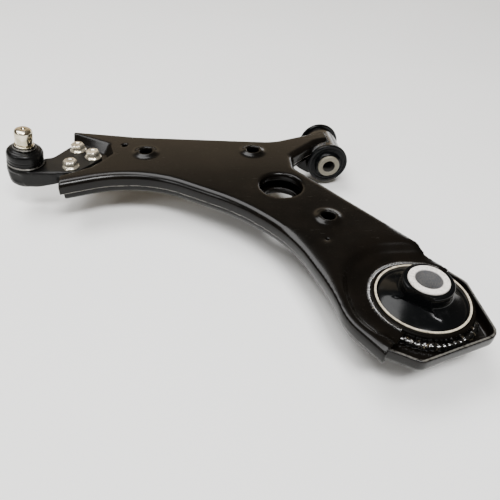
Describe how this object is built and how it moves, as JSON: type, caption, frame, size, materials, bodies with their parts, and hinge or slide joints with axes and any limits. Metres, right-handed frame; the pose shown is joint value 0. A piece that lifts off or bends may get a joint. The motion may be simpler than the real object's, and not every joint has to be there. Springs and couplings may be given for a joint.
{
  "type": "control arm",
  "caption": "Pressed-steel lower suspension control arm with a bolted ball joint, a horizontal front bush and a large vertical rear bush.",
  "frame": {"origin": "centre of the front bush's bore, halfway along its inner sleeve", "axes": "+Y along the front bush's bore, away from the rear bush; +Z square to the arm's flat top, on the side of the stud; -X towards the ball joint"},
  "size_m": [0.4312, 0.3711, 0.0927],
  "materials": {
    "black_paint": "gloss black electrophoretic paint",
    "forging_paint": "satin black paint over forged steel",
    "weld": "rippled weld bead under gloss black paint",
    "sleeve_steel": "drawn steel sleeve, bare cut edge",
    "core_steel": "machined steel, satin",
    "core_alloy": "turned steel, matt bright face",
    "bush_rubber": "glossy moulded rubber",
    "boot_rubber": "satin moulded rubber",
    "bearing_plastic": "natural bearing plastic",
    "stud_zinc": "machined steel with pale yellow zinc",
    "zinc": "bright zinc plate",
    "spring_wire": "bright spring wire"
  },
  "bodies": {
    "arm": {"upper_shell": "black_paint", "lower_shell": "black_paint", "front_eye_tube": "black_paint", "eye_tube_welds": "weld", "rear_housing_ring": "black_paint", "rear_ring_welds": "weld", "shell_seam_welds": "weld", "front_bush_outer_sleeve": "sleeve_steel", "front_bush_rubber": "bush_rubber", "rear_bush_outer_sleeve": "sleeve_steel", "rear_bush_rubber": "bush_rubber", "ball_joint_housing": "forging_paint", "ball_socket_liner": "bearing_plastic", "ball_joint_cap": "zinc", "dust_boot": "boot_rubber", "boot_lower_ring": "spring_wire", "flange_bolts": "zinc", "flange_nuts": "zinc"},
    "front_sleeve": {"front_bush_inner_sleeve": "core_steel"},
    "rear_core": {"rear_bush_core": "core_alloy"},
    "boot_ring": {"boot_upper_ring": "spring_wire"},
    "stud": {"ball_stud": "stud_zinc"}
  },
  "joints": [
    {"name": "front_bush_twist", "type": "hinge", "parent": "arm", "child": "front_sleeve", "pos_m": [0, 0, 0], "axis": [0, 1, 0], "range_deg": [-25, 25], "stiffness_Nm_per_rad": 60},
    {"name": "rear_bush_rock", "type": "hinge", "parent": "arm", "child": "rear_core", "pos_m": [0.0232, -0.2705, 0], "axis": [0, 1, 0], "range_deg": [-12, 12], "stiffness_Nm_per_rad": 90, "deforming": ["rear_bush_rubber"]},
    {"name": "ball_tilt", "type": "hinge", "parent": "arm", "child": "boot_ring", "pos_m": [-0.34119, -0.055, 0.01342], "axis": [0, 1, 0], "range_deg": [-22, 22], "deforming": ["dust_boot"]},
    {"name": "ball_spin", "type": "hinge", "parent": "boot_ring", "child": "stud", "pos_m": [-0.34119, -0.055, 0.01342], "axis": [0.1513, 0, 0.9885], "continuous": true}
  ]
}
